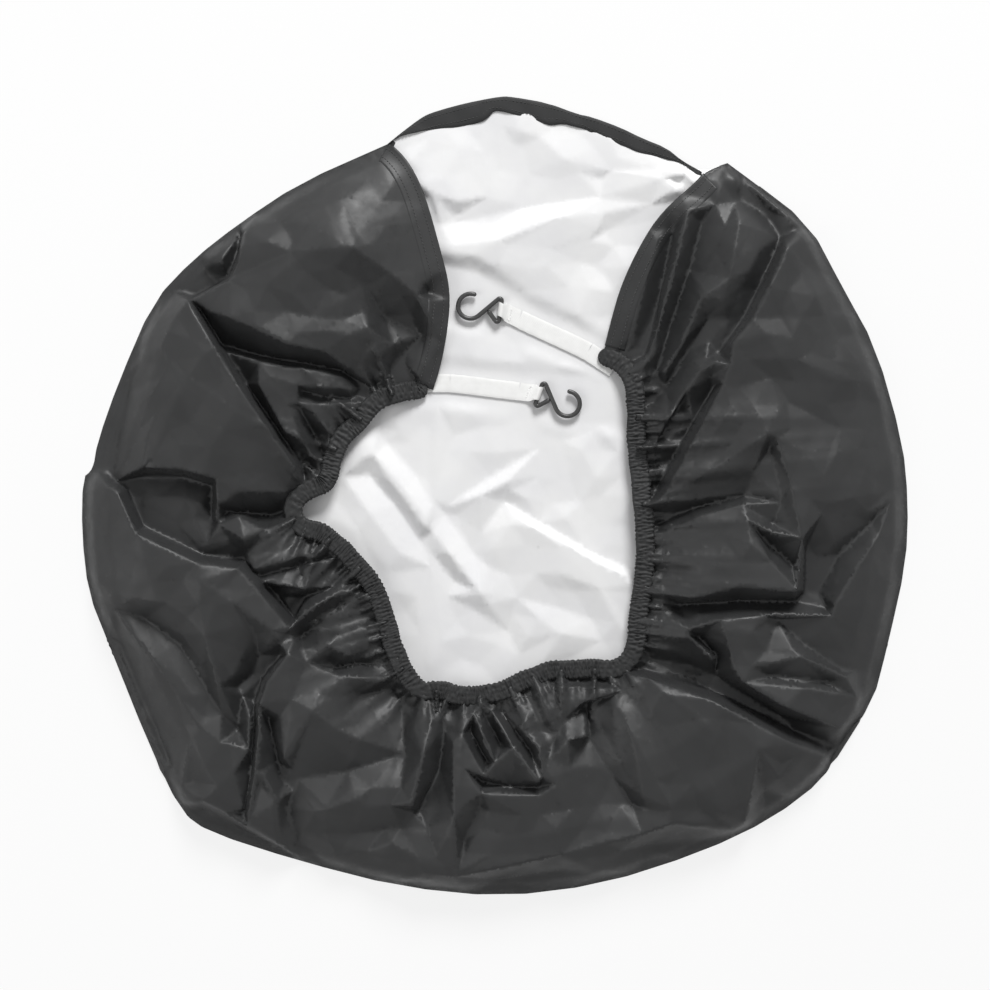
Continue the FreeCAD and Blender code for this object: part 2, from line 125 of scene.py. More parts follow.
# ---- folds of the band: points (x, y, height over the smooth band) in mm ----
BAND_FOLDS = [
    # upper left
    [(-270, 175, 0), (-235, 191, 5), (-180, 216, 8), (-124, 219, 12)],
    [(-268, 181, -12), (-252, 189, -14), (-238, 196, -8)],
    [(-215, 252, 6), (-221, 236, 8), (-224, 222, 8), (-226, 207, 6), (-231, 196, 4)],
    [(-220, 251, -4), (-226, 236, -6), (-229, 222, -6), (-233, 209, -6)],
    [(-250, 225, 3), (-234, 224, 2)],
    [(-261, 216, 2), (-243, 209, 4)],
    [(-124, 219, 12), (-93, 198, 9), (-69, 179, 7), (-46, 139, 6)],
    [(-124, 219, 12), (-116, 189, -2), (-99, 161, -7), (-71, 149, -7), (-46, 139, 6)],
    [(-148, 184, 2), (-135, 157, 3), (-110, 148, 4), (-92, 135, 3)],
    [(-66, 144, -6), (-81, 128, -6), (-94, 107, -6)],
    [(-46, 139, 6), (-60, 117, 2), (-71, 100, 0)],
    [(-65, 189, 4), (-58, 182, -5), (-56, 175, 3)],
    [(-254, 164, 2), (-234, 159, 9), (-209, 148, 9), (-182, 135, 9), (-151, 129, 6), (-110, 98, -3)],
    [(-240, 135, -11), (-209, 126, -11), (-164, 118, -11), (-135, 112, -9), (-116, 98, -8)],
    [(-238, 128, -2), (-209, 120, 0), (-164, 113, 1), (-135, 106, -1)],
    [(-190, 92, 3), (-175, 99, 4), (-126, 96, 0)],
    [(-171, 95, -5), (-148, 89, -6), (-128, 88, -5)],
    [(-175, 84, 3), (-148, 81, 1), (-128, 84, 0)],
    [(-173, 79, -2), (-162, 56, -10), (-149, 35, -8)],
    [(-159, 74, 3), (-148, 58, 2), (-141, 45, -1)],
    [(-179, 72, 3), (-171, 49, 2), (-161, 35, -1)],
    [(-209, 99, 2), (-189, 63, 3)],
    # left
    [(-271, 173, 9), (-247, 133, 11), (-226, 99, 11), (-202, 63, 10), (-178, 27, 8), (-172, 2, 2)],
    [(-262, 166, -8), (-242, 135, -12), (-221, 100, -10), (-197, 65, -9), (-173, 30, -9), (-168, 6, -6)],
    [(-294, 133, 10), (-317, 119, -1), (-328, 94, -6), (-338, 49, -8), (-342, 18, -8)],
    [(-294, 133, 10), (-287, 116, 9), (-277, 98, 9), (-296, 76, 7), (-305, 56, 6), (-311, 26, 4)],
    [(-276, 24, 4), (-252, 44, 7), (-200, 45, 8)],
    [(-310, 26, 3), (-276, 24, 4), (-246, 16, 5), (-245, -5, 3), (-246, -21, 0)],
    [(-312, 19, -12), (-276, 18, -13), (-252, 10, -13), (-252, -5, -12), (-252, -19, -10)],
    [(-274, -2, -8), (-261, -9, -8)],
    [(-315, -5, -10), (-283, -23, -10), (-261, -45, -10)],
    [(-256, 85, 8), (-238, 58, 8)],
    # lower left
    [(-368, 16, 4), (-344, 10, 5), (-333, 4, 6), (-316, -32, 8), (-261, -58, 9), (-226, -63, 9),
     (-207, -84, 9), (-181, -116, 6)],
    [(-337, 14, -8), (-327, 7, -9), (-312, -26, -10), (-260, -51, -11), (-223, -55, -8), (-202, -79, -10),
     (-178, -108, -10)],
    [(-244, -24, -2), (-226, -17, 3), (-221, -37, 6), (-244, -24, -2)],
    [(-226, -17, 3), (-202, -29, 0), (-221, -37, 6)],
    [(-202, -29, 0), (-189, -49, 3), (-178, -18, 2), (-168, -36, 0), (-189, -49, 3)],
    [(-238, -13, -9), (-220, -14, -11), (-198, -16, -11), (-180, -9, -10)],
    [(-240, -5, 2), (-227, 5, 6), (-184, 5, 4), (-175, -2, -2)],
    [(-234, -41, -4), (-220, -50, -5)],
    [(-213, -64, 2), (-175, -53, 4), (-148, -46, 1)],
    [(-209, -70, -4), (-175, -61, -5), (-153, -55, -4)],
    [(-206, -75, 2), (-168, -81, 4), (-162, -59, 3), (-139, -53, -1)],
    [(-189, -88, -7), (-168, -88, -8), (-144, -80, -7)],
    [(-119, -73, -1), (-136, -84, 3), (-157, -95, 4), (-173, -107, 4)],
    [(-137, -96, -5), (-159, -114, -7), (-173, -124, -8)],
    [(-200, -126, 3), (-189, -129, 4), (-177, -126, 3)],
    [(-259, -74, 12), (-230, -93, 10), (-196, -117, 8), (-181, -121, 2)],
    [(-259, -74, 12), (-260, -95, 10), (-254, -122, 10), (-243, -167, 6), (-228, -202, -6)],
    [(-209, -140, -6), (-214, -156, -10), (-229, -169, -8)],
    [(-348, -92, 2), (-339, -87, 6), (-319, -90, 7), (-288, -93, 8), (-270, -106, 8), (-254, -122, 10)],
    [(-310, -108, -2), (-279, -131, -3), (-253, -176, -2), (-242, -192, -2)],
    [(-337, -99, 5), (-301, -144, 6), (-279, -176, 6), (-261, -203, 5)],
    [(-333, -131, -5), (-310, -185, -5), (-292, -239, -5)],
    [(-261, -203, 5), (-268, -212, 5), (-278, -257, 4), (-282, -275, 3)],
    [(-261, -203, 5), (-243, -217, 4), (-231, -243, 3), (-223, -275, 2)],
    [(-242, -192, 3), (-228, -206, -8), (-216, -195, 3), (-217, -223, 3), (-233, -218, 3)],
    [(-282, -275, 3), (-259, -268, 7), (-238, -279, 5), (-220, -292, 4)],
    [(-261, -279, -5), (-222, -300, -7), (-189, -317, -5)],
    # bottom
    [(-182, -138, 9), (-200, -162, 9), (-207, -182, 9), (-207, -203, 8), (-211, -243, 7), (-218, -288, 5)],
    [(-189, -140, -6), (-207, -161, -10), (-214, -182, -11), (-214, -200, -8), (-216, -239, -5),
     (-223, -280, -2)],
    [(-182, -138, 9), (-179, -178, 7), (-186, -230, 4)],
    [(-200, -196, -4), (-193, -234, -7), (-187, -252, -6)],
    [(-160, -189, 9), (-179, -241, -4)],
    [(-160, -189, 9), (-139, -205, 6), (-120, -214, 4), (-88, -225, -4)],
    [(-175, -250, -6), (-130, -243, -5), (-88, -230, -6)],
    [(-207, -255, 2), (-204, -245, 5), (-193, -269, 6), (-192, -308, 5), (-171, -326, 3)],
    [(-184, -275, -5), (-177, -309, -4)],
    [(-148, -275, 5), (-121, -266, 5)],
    [(-126, -298, -3), (-99, -295, -3)],
    [(-92, -306, 4), (-96, -342, 3)],
    [(-182, -138, 9), (-166, -146, 4), (-135, -159, 4), (-90, -163, -2)],
    [(-144, -152, -6), (-121, -148, -7), (-99, -151, -6)],
    [(-148, -131, 3), (-130, -140, 3)],
    [(-128, -187, -1), (-121, -176, -6), (-88, -171, -8)],
    [(-148, -176, 5), (-135, -196, 4)],
    [(-56, -196, 4), (-63, -226, 9), (-73, -270, 9), (-92, -272, 3)],
    [(-45, -207, -2), (-49, -239, -7), (-67, -278, -8)],
    [(-82, -203, -7), (-80, -230, -6)],
    [(-37, -215, 7), (-36, -282, 7), (-33, -332, 6)],
    [(-28, -306, -4), (-13, -275, -3)],
    [(-29, -209, 6), (-10, -246, 4)],
    [(-22, -207, -5), (-7, -234, -6)],
    [(-19, -192, 5), (0, -234, 5)],
    [(-9, -196, -5), (5, -219, -6)],
    [(-3, -190, 4), (16, -221, 7), (38, -250, 5)],
    [(7, -192, -4), (30, -223, -5)],
    [(22, -205, 3), (39, -221, 5), (42, -246, 2)],
    [(-10, -252, -6), (14, -257, -7), (39, -257, -5)],
    [(-36, -282, 7), (-26, -269, 5), (-12, -261, 4), (39, -263, 3)],
    [(47, -232, 2), (64, -215, 4), (81, -211, 6)],
    [(24, -207, 2), (55, -209, -3)],
    [(32, -189, 2), (55, -182, 3), (75, -183, 5)],
    # lower right
    [(81, -184, -6), (84, -214, -7), (104, -248, -6), (122, -273, -5)],
    [(109, -185, 7), (120, -209, 8), (140, -248, 7), (156, -275, 7), (157, -287, 8)],
    [(120, -209, 4), (131, -264, 4)],
    [(47, -167, 4), (113, -171, 6)],
    [(59, -156, -2), (95, -162, -3)],
    [(155, -202, 6), (185, -241, 6), (219, -286, 6)],
    [(231, -221, 10), (202, -196, 6)],
    [(231, -221, 10), (221, -288, 7)],
    [(231, -221, 10), (266, -228, 6), (291, -234, 5)],
    [(231, -221, 10), (251, -248, 6), (261, -282, 4)],
    [(239, -261, -2), (241, -275, -1)],
    [(-94, -345, 4), (-35, -336, 6), (59, -315, 6), (130, -297, 6), (157, -287, 8), (217, -296, 5)],
    [(-67, -351, -5), (5, -341, -6), (59, -333, -3)],
    [(95, -306, 6), (88, -334, 2)],
    [(131, -311, -4), (176, -307, -5)],
    [(99, -154, 4), (135, -160, 6), (188, -178, 8), (228, -199, 8), (264, -218, 8), (295, -232, 6)],
    [(131, -153, -8), (190, -171, -11), (231, -190, -12), (267, -209, -11), (297, -222, -6)],
    # right
    [(219, -163, 6), (252, -183, 8), (306, -205, 5)],
    [(140, -144, -8), (176, -149, -10), (196, -158, -10), (257, -196, -12)],
    [(219, -163, 6), (275, -169, 5), (320, -177, 5)],
    [(219, -163, 6), (226, -149, 5), (270, -141, 6), (310, -160, 5), (320, -177, 5)],
    [(243, -158, -1), (293, -164, -1)],
    [(199, -108, 9), (170, -117, 5), (149, -125, 2)],
    [(199, -108, 9), (206, -131, 7), (210, -149, 5)],
    [(171, -123, 5), (192, -142, 4)],
    [(181, -125, -6), (196, -140, -6)],
    [(250, -108, -4), (275, -131, -3), (308, -153, -2)],
    [(149, -86, 2), (175, -89, 6), (216, -78, 9), (264, -83, 8)],
    [(165, -96, -8), (216, -92, -10), (266, -93, -10), (294, -99, -6)],
    [(185, -105, 2), (239, -104, 3), (297, -105, 3)],
    [(239, 56, 12), (185, 20, 8), (135, -17, -2)],
    [(239, 56, 12), (228, 22, 2), (222, 2, -6), (176, -10, -7), (144, -25, -8)],
    [(219, -7, 2), (185, -15, 2), (149, -32, 0)],
    [(219, -7, 2), (246, -23, -4)],
    [(222, -20, 5), (243, -31, 5), (270, -36, 8)],
    [(222, -20, 5), (243, -57, 6), (265, -82, 8)],
    [(241, -41, -4), (264, -61, -4)],
    [(248, 52, 8), (260, 13, 7), (270, -36, 8), (265, -82, 8)],
    [(242, 43, 1), (252, -5, 0)],
    [(276, -45, -8), (275, -84, -10)],
    [(351, -4, 3), (334, -23, -4), (305, -52, -8), (288, -84, -9)],
    [(340, -34, 4), (320, -63, 4), (301, -95, 4)],
    [(302, 40, 5), (293, -5, 6)],
    [(266, 121, 6), (320, 103, 5)],
    [(257, 85, 3), (291, 67, 2)],
    [(207, 116, 8), (201, 100, 8), (182, 63, 8), (150, 2, 5)],
    [(195, 99, -4), (176, 66, -9), (144, 6, -8)],
    # upper right
    [(207, 116, 8), (196, 119, 7), (182, 112, 5), (171, 96, 4)],
    [(279, 235, 5), (258, 221, 8), (241, 184, 8), (227, 157, 8), (210, 137, 8)],
    [(252, 224, -8), (234, 186, -9), (221, 159, -9), (199, 128, -8)],
    [(187, 179, 4), (199, 175, 1)],
    [(190, 159, -6), (171, 130, -7), (153, 99, -7)],
    [(216, 243, 5), (207, 193, 3)],
    [(171, 254, 7), (160, 207, 7), (144, 148, 6), (136, 123, 2)],
    [(159, 240, -6), (150, 193, -7), (140, 148, -7), (134, 127, -5)],
    [(184, 245, -5), (173, 202, -8), (160, 164, -8), (144, 112, -7)],
    [(144, 229, 4), (131, 184, 4), (122, 141, 3)],
    [(182, 175, 3), (167, 139, 3), (151, 112, 1)],
    [(171, 96, 5), (153, 67, 3), (142, 45, 0)],
    [(163, 81, -6), (149, 58, -5)],
    [(190, 290, 5), (208, 294, 7), (216, 285, 6)],
    [(223, 276, -6), (239, 259, -7), (254, 233, -7)],
    [(230, 277, 5), (266, 245, 4)],
]

# ---- folds of the lining: points (x, y, height over the flat panel) in mm ----
LINING_FOLDS = [
    # diagonal waves under the middle of the opening
    [(-125, 64, 2), (-108, 38, 4), (-90, 13, 5), (-63, -23, 5), (-40, -51, 4), (-13, -86, 4), (12, -120, 0)],
    [(-112, 20, 0), (-88, -6, 0), (-68, -36, 0), (-36, -75, 0)],
    [(-98, 49, 0), (-72, 20, 0), (-45, -15, 0), (-20, -50, 0)],
    [(-136, 18, 2), (-112, -14, 4), (-85, -50, 3), (-58, -62, 1)],
    [(-140, -5, 1), (-122, -28, 3), (-96, -66, 2)],
    [(-12, -32, 1), (14, -24, 3), (30, -25, 4), (58, -45, 4), (94, -82, 4), (122, -110, 3)],
    [(30, -25, 4), (72, -48, 5), (113, -70, 5), (130, -84, 3)],
    [(8, -4, 0), (40, -23, 0), (86, -50, 0), (122, -66, 0)],
    [(-34, -16, 0), (-12, 2, 3), (11, 14, 3), (14, 6, 2)],
    [(-42, -8, 1), (-4, 18, 0), (40, 44, 0), (60, 50, 0)],
    # broad folds that fan out from the right end of the band
    [(-44, 204, 3), (5, 230, 4), (58, 250, 4), (98, 254, 2)],
    [(-36, 246, 0), (23, 258, 0), (94, 268, 1), (150, 284, 3), (170, 286, 3)],
    [(-40, 196, 2), (5, 208, 3), (50, 222, 3), (94, 242, 2)],
    [(98, 238, 0), (140, 262, 1)],
    [(40, 322, 1), (62, 302, 2), (104, 292, 1), (150, 282, 3)],
    # crumple beside the band's right end
    [(156, 284, 3), (161, 274, 5), (168, 268, 1)],
    [(170, 290, 5), (178, 278, 4), (186, 276, 1)],
    [(163, 282, 1), (170, 278, 2)],
    # pinched folds at the band's left end
    [(-68, 279, 3), (-54, 270, 3), (-36, 252, 0)],
    [(-70, 273, 0), (-60, 266, 1)],
    [(-76, 300, 2), (-60, 320, 1)],
    # crease pressed in by storage
    [(-52, 82, 0.7), (-55, -8, 0.9), (-58, -62, 1), (-61, -160, 0.8)],
    [(-36, 166, 0.8), (-40, 108, 0.8)],
    # shallow waves near the hem
    [(22, -140, 1), (58, -122, 3), (95, -128, 2)],
    [(68, 150, 1), (85, 80, 2), (110, 40, 1)],
    [(-20, -100, 1), (20, -90, 2), (60, -100, 1)],
]


# ---- small tools ----
def smooth(t):
    t = np.clip(t, 0.0, 1.0)
    return t * t * (3 - 2 * t)


FIT = np.array([(CAD_HIGH.x - CAD_LOW.x) / MM / DRAWN_WIDTH, (CAD_HIGH.y - CAD_LOW.y) / MM / DRAWN_LENGTH])


def plan(points):
    """Points in mm as drawn, fitted to the frame's box."""
    points = np.array(points, dtype=float)
    points[:, :2] *= FIT
    return points


def rounded(points, passes=2, closed=False):
    """The line with its corners cut, ends kept."""
    for _ in range(passes):
        following = np.roll(points, -1, axis=0) if closed else points[1:]
        before = points if closed else points[:-1]
        cut = np.stack([before * 0.75 + following * 0.25, before * 0.25 + following * 0.75], axis=1)
        cut = cut.reshape(-1, points.shape[1])
        points = cut if closed else np.vstack([points[:1], cut[1:-1], points[-1:]])
    return points


def arclength(points):
    return np.concatenate([[0.0], np.cumsum(np.linalg.norm(np.diff(points, axis=0), axis=1))])


def resample(points, step):
    """The open line as evenly spaced points about a step apart, ends kept."""
    along = arclength(points)
    at = np.linspace(0, along[-1], max(2, int(round(along[-1] / step)) + 1))
    return np.stack([np.interp(at, along, points[:, k]) for k in range(points.shape[1])], axis=1)


def sideways(points):
    """Unit vectors in plan to the left of the line's direction."""
    forward = np.gradient(points[:, :2], axis=0)
    forward /= np.linalg.norm(forward, axis=1)[:, None] + 1e-9
    return np.stack([-forward[:, 1], forward[:, 0]], axis=1)


def softened(values, passes):
    for _ in range(passes):
        inner = (values[:-2] + values[1:-1] * 2 + values[2:]) / 4
        values = np.concatenate([values[:1], inner, values[-1:]])
    return values


def inside(points, outline):
    """True where a point lies inside the closed outline."""
    result = np.zeros(len(points), dtype=bool)
    x, y = points[:, 0], points[:, 1]
    for a, b in zip(outline, np.roll(outline, -1, axis=0)):
        crosses = (a[1] > y) != (b[1] > y)
        reach = (b[0] - a[0]) * (y - a[1]) / (b[1] - a[1] + 1e-12) + a[0]
        result ^= crosses & (x < reach)
    return result


def tree_of(points):
    tree = kdtree.KDTree(len(points))
    for n, p in enumerate(points):
        tree.insert((p[0], p[1], 0.0), n)
    tree.balance()
    return tree


def nearest(points, samples):
    """Distance to the nearest sample and that sample's index, for each point."""
    tree = tree_of(samples)
    found = [tree.find((p[0], p[1], 0.0)) for p in points]
    return np.array([f[2] for f in found]), np.array([f[1] for f in found])


def grid_points(outline, spacing):
    """Jittered points on a triangular grid inside the outline."""
    low, high = outline.min(axis=0), outline.max(axis=0)
    rows = np.arange(low[1], high[1], spacing * 0.866)
    points = [(x + (spacing / 2 if n % 2 else 0), y)
              for n, y in enumerate(rows) for x in np.arange(low[0], high[0], spacing)]
    points = np.array(points) + rng.uniform(-0.2, 0.2, (len(points), 2)) * spacing
    return points[inside(points, outline)]


def triangulate(outline, lines, loose, spacing=None, clearance=0.0):
    """Constrained triangles inside the outline: their points, the faces, and each point's source."""
    samples = [line if spacing is None else resample(line[:, :2], spacing) for line in lines]
    placed = np.vstack([sample[:, :2] for sample in samples])
    linked = np.ones(len(placed), dtype=bool)
    linked[np.cumsum([len(sample) for sample in samples]) - 1] = False
    keep = inside(placed, outline) & (nearest(placed, outline)[0] > clearance)
    first = len(outline)
    rows = np.cumsum(keep) - 1 + first
    links = np.flatnonzero(linked[:-1] & keep[:-1] & keep[1:])
    ring = [(n, (n + 1) % first) for n in range(first)]
    edges = ring + [(int(rows[n]), int(rows[n + 1])) for n in links]
    points = np.vstack([outline[:, :2], placed[keep], loose[:, :2]])
    found = geometry.delaunay_2d_cdt([Vector(p) for p in points], edges, [], 0, 1e-5)
    origin = np.concatenate([np.arange(first), first + np.flatnonzero(keep),
                             first + len(placed) + np.arange(len(loose))])
    sources = np.array([origin[source[0]] if source else -1 for source in found[3]])
    points = np.array([tuple(p) for p in found[0]])
    faces = np.array([tuple(f) for f in found[2]])
    faces = faces[inside(points[faces].mean(axis=1), outline)]
    return points, [tuple(int(n) for n in f) for f in faces], sources


def clear_of(points, others, gap):
    return points[nearest(points, others)[0] > gap] if len(others) else points


def caster(points, faces):
    """Surface that answers with its height under points in plan, and 0 beside it."""
    tree = BVHTree.FromPolygons([tuple(p) for p in points], faces)
    down = Vector((0, 0, -1))

    def height(plan_points, missing=0.0):
        out = np.full(len(plan_points), float(missing))
        for n, p in enumerate(plan_points):
            hit = tree.ray_cast(Vector((p[0], p[1], 500.0)), down)[0]
            if hit is not None:
                out[n] = hit.z
        return out

    return height


def fold_surface(outline, folds, ring_step, crumple_step, crumple, calm=()):
    """Piecewise flat surface through the folds and small random creases: its height, and its edges."""
    ring = resample(np.vstack([outline, outline[:1]]), ring_step)[:-1]
    ring = np.column_stack([ring, np.zeros(len(ring))])
    chains = [plan(fold) for fold in folds]
    loose = np.empty((0, 3))
    for stage in range(2):
        known = np.vstack([ring] + chains + [loose])
        points, faces, sources = triangulate(ring, chains, loose)
        heights = np.where(sources >= 0, known[np.maximum(sources, 0), 2], np.nan)
        for n in np.flatnonzero(np.isnan(heights)):
            gap = np.linalg.norm(known[:, :2] - points[n], axis=1)
            weight = 1 / (np.sort(gap)[:3] + 1e-6)
            heights[n] = (weight * known[np.argsort(gap)[:3], 2]).sum() / weight.sum()
        height = caster(np.column_stack([points, heights]), faces)
        if stage == 0:
            creases = np.vstack([ring] + [resample(chain, 6.0) for chain in chains])
            seeds = clear_of(grid_points(outline, crumple_step), creases, crumple_step * 0.3)
            swing = np.full(len(seeds), crumple)
            for x, y, radius in calm:
                swing *= 1 - 0.75 * np.exp(-((seeds[:, 0] - x) ** 2 + (seeds[:, 1] - y) ** 2) / radius ** 2)
            loose = np.column_stack([seeds, height(seeds) + rng.normal(0, 1, len(seeds)) * swing])
    edges = {tuple(sorted((f[k], f[k - 1]))) for f in faces for k in range(3)}
    return height, [points[list(edge)] for edge in sorted(edges)]


def fine_mesh(outline, lines, spacing, close_line=None, close_reach=0.0, close_spacing=0.0, wide=None):
    """Triangles that follow the creases, finer beside the close line and wider away from what shows."""
    loose = grid_points(outline, spacing)
    if close_line is not None:
        near = grid_points(outline, close_spacing)
        near = near[nearest(near, close_line)[0] <= close_reach]
        loose = np.vstack([loose[nearest(loose, close_line)[0] > close_reach], near])
    if wide is not None:
        loose = loose[wide(loose) | (rng.uniform(0, 1, len(loose)) < 0.12)]
    loose = clear_of(loose, outline, (close_spacing or spacing) * 0.5)
    creases = np.vstack([resample(line[:, :2], spacing) for line in lines])
    loose = clear_of(loose, creases, (close_spacing or spacing) * 0.5)
    points, faces, _ = triangulate(outline, lines, loose, spacing, spacing * 0.5)
    flat = np.column_stack([points, np.zeros(len(points))])
    points, faces = welded(flat, faces, 0.35)
    return points[:, :2], faces


def relaxed(points, faces, values, weight, passes, fixed):
    """Values averaged with their neighbours', except at fixed points."""
    edges = np.array([(f[i], f[i - 1]) for f in faces for i in range(len(f))])
    edges = np.unique(np.sort(edges, axis=1), axis=0)
    count = np.zeros(len(points))
    np.add.at(count, edges.ravel(), 1)
    for _ in range(passes):
        total = np.zeros(len(points))
        np.add.at(total, edges[:, 0], values[edges[:, 1]])
        np.add.at(total, edges[:, 1], values[edges[:, 0]])
        mean = total / np.maximum(count, 1)
        values = np.where(fixed, values, values * (1 - weight) + mean * weight)
    return values


def add_mesh(name, points, faces, materials, sharp=180):
    """A new object from points in mm."""
    mesh = bpy.data.meshes.new(name)
    mesh.from_pydata([tuple(p) for p in np.array(points) * MM], [], [tuple(f) for f in faces])
    mesh.validate()
    mesh.set_sharp_from_angle(angle=math.radians(sharp))
    for material in materials:
        mesh.materials.append(material)
    mesh.update()
    obj = bpy.data.objects.new(name, mesh)
    bpy.context.scene.collection.objects.link(obj)
    return obj


def welded(points, faces, gap):
    """Points closer together than the gap merged, and the faces that vanish with them dropped."""
    shape = bmesh.new()
    verts = [shape.verts.new(p) for p in points]
    for face in faces:
        shape.faces.new([verts[n] for n in face])
    bmesh.ops.remove_doubles(shape, verts=shape.verts, dist=gap)
    bmesh.ops.dissolve_degenerate(shape, edges=shape.edges, dist=gap / 2)
    bmesh.ops.triangulate(shape, faces=shape.faces)
    shape.verts.index_update()
    points = np.array([tuple(v.co) for v in shape.verts])
    faces = [tuple(v.index for v in f.verts) for f in shape.faces]
    shape.free()
    return points, faces


def thicken(obj, thickness, rim_slot=0):
    """Give a sheet its thickness below it: the next material inside, and the rim's own on its edge."""
    solid = obj.modifiers.new("thickness", "SOLIDIFY")
    solid.thickness = thickness * MM
    solid.offset = -1
    solid.material_offset = 1
    solid.material_offset_rim = rim_slot
    solid.use_even_offset = False
    graph = bpy.context.evaluated_depsgraph_get()
    mesh = bpy.data.meshes.new_from_object(obj.evaluated_get(graph))
    obj.modifiers.clear()
    obj.data = mesh


def hand_in(piece, body, slot, *nodes):
    """Attach a piece to the body that it moves with and hide the CAD nodes that it stands for. The slot is
    not used.
    """
    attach(piece, body)
    if nodes:
        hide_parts(*nodes)


def tube_faces(stations, around):
    """Quads between rings of points, closed round each ring and capped at both ends."""
    faces = []
    for s in range(stations - 1):
        for k in range(around):
            nxt = (k + 1) % around
            faces.append((s * around + k, s * around + nxt, (s + 1) * around + nxt, (s + 1) * around + k))
    faces.append(tuple(reversed(range(around))))
    faces.append(tuple(range((stations - 1) * around, stations * around)))
    return faces


def stitches(name, line, pitch, gap, radius, material):
    """A row of separate stitches that follow a line of points (x, y, z)."""
    along = arclength(line)
    points, faces = [], []
    for n in range(int(along[-1] // pitch)):
        start = n * pitch + gap / 2
        at = np.linspace(start, start + pitch - gap, 5)
        centre = np.stack([np.interp(at, along, line[:, k]) for k in range(3)], axis=1)
        swell = np.array([0.35, 0.95, 1.0, 0.95, 0.35]) * radius
        dip = np.array([-0.8, 0.0, 0.25, 0.0, -0.8]) * radius
        side = sideways(centre)
        first = len(points)
        for c, s, r, d in zip(centre, side, swell, dip):
            for k in range(6):
                turn = math.tau * k / 6
                points.append((c[0] + s[0] * r * math.cos(turn), c[1] + s[1] * r * math.cos(turn),
                               c[2] + d + r * math.sin(turn)))
        faces += [tuple(first + i for i in face) for face in tube_faces(5, 6)]
    return add_mesh(name, points, faces, [material])


# ---- materials ----
class Look:
    """A principled material with its colour, roughness and bump from procedural nodes."""

    def __init__(self, name, roughness, **sockets):
        self.material = bpy.data.materials.new(name)
        self.material.use_nodes = True
        self.tree = self.material.node_tree
        self.shader = self.tree.nodes["Principled BSDF"]
        self.shader.inputs["Roughness"].default_value = roughness
        for socket, value in sockets.items():
            self.shader.inputs[socket.replace("_", " ")].default_value = value
        self.place = self.tree.nodes.new("ShaderNodeTexCoord").outputs["Object"]
        self.bump = None

    def node(self, kind, **settings):
        made = self.tree.nodes.new(kind)
        for key, value in settings.items():
            if key in made.inputs:
                made.inputs[key].default_value = value
            else:
                setattr(made, key, value)
        return made

    def link(self, source, target):
        self.tree.links.new(source, target)

    def noise(self, size, detail=2.0, stretch=None):
        """Noise between 0 and 1 with features of a size in mm."""
        made = self.node("ShaderNodeTexNoise", Scale=1 / (size * MM), Detail=detail)
        place = self.place
        if stretch:
            mapping = self.node("ShaderNodeMapping", Scale=stretch)
            self.link(place, mapping.inputs["Vector"])
            place = mapping.outputs["Vector"]
        self.link(place, made.inputs["Vector"])
        return made.outputs["Fac"]

    def waves(self, pitch, direction, turn=0.0, distortion=0.0):
        """Bands with a pitch in mm."""
        made = self.node("ShaderNodeTexWave", Scale=math.tau / 20 / (pitch * MM), Distortion=distortion,
                         bands_direction=direction)
        mapping = self.node("ShaderNodeMapping", Rotation=(0, 0, math.radians(turn)))
        self.link(self.place, mapping.inputs["Vector"])
        self.link(mapping.outputs["Vector"], made.inputs["Vector"])
        return made.outputs["Fac"]

    def math(self, operation, a, b):
        made = self.node("ShaderNodeMath", operation=operation)
        for socket, value in zip(made.inputs, (a, b)):
            if isinstance(value, (int, float)):
                socket.default_value = value
            else:
                self.link(value, socket)
        return made.outputs[0]

    def span(self, source, low, high, start=0.3, end=0.7):
        made = self.node("ShaderNodeMapRange")
        for socket, value in (("From Min", start), ("From Max", end), ("To Min", low), ("To Max", high)):
            made.inputs[socket].default_value = value
        self.link(source, made.inputs["Value"])
        return made.outputs["Result"]

    def colour(self, source, stops):
        ramp = self.node("ShaderNodeValToRGB")
        while len(ramp.color_ramp.elements) < len(stops):
            ramp.color_ramp.elements.new(0.5)
        for element, (at, rgb) in zip(ramp.color_ramp.elements, stops):
            element.position = at
            element.color = (*rgb, 1)
        self.link(source, ramp.inputs["Fac"])
        self.link(ramp.outputs["Color"], self.shader.inputs["Base Color"])

    def rough(self, source, low, high):
        self.link(self.span(source, low, high), self.shader.inputs["Roughness"])

    def raise_by(self, source, height, strength=1.0):
        """Add bump whose full height is in mm."""
        made = self.node("ShaderNodeBump", Strength=strength, Distance=height * MM)
        self.link(source, made.inputs["Height"])
        if self.bump:
            self.link(self.bump, made.inputs["Normal"])
        self.bump = made.outputs["Normal"]
        self.link(self.bump, self.shader.inputs["Normal"])


def grey(value, warm=0.0):
    return (value * (1 + warm), value, value * (1 - warm))


def black_cloth(name, base=0.021, roughness=(0.42, 0.54)):
    look = Look(name, 0.45, Sheen_Weight=0.03, Sheen_Roughness=0.4, Specular_IOR_Level=0.34)
    blotch = look.noise(38, 3)
    look.colour(blotch, [(0.3, grey(base * 0.85, -0.02)), (0.7, grey(base * 1.2, -0.02))])
    look.rough(look.noise(14, 3), *roughness)
    weave = look.math("MULTIPLY", look.waves(0.9, "X", 38), look.waves(0.9, "Y", 38))
    look.raise_by(weave, 0.03, 0.5)
    look.raise_by(look.noise(6, 3), 0.07, 0.5)
    return look.material


def silver_lining(name):
    look = Look(name, 0.5, Specular_IOR_Level=0.32)
    look.colour(look.noise(60, 3), [(0.35, (0.765, 0.765, 0.775)), (0.65, (0.815, 0.815, 0.815))])
    look.rough(look.noise(18, 3), 0.42, 0.58)
    weave = look.math("MULTIPLY", look.waves(0.9, "X", 0), look.waves(0.9, "Y", 0))
    look.raise_by(weave, 0.02, 0.4)
    look.raise_by(look.noise(55, 3), 1.2, 0.5)
    look.raise_by(look.noise(12, 3), 0.18, 0.5)
    return look.material


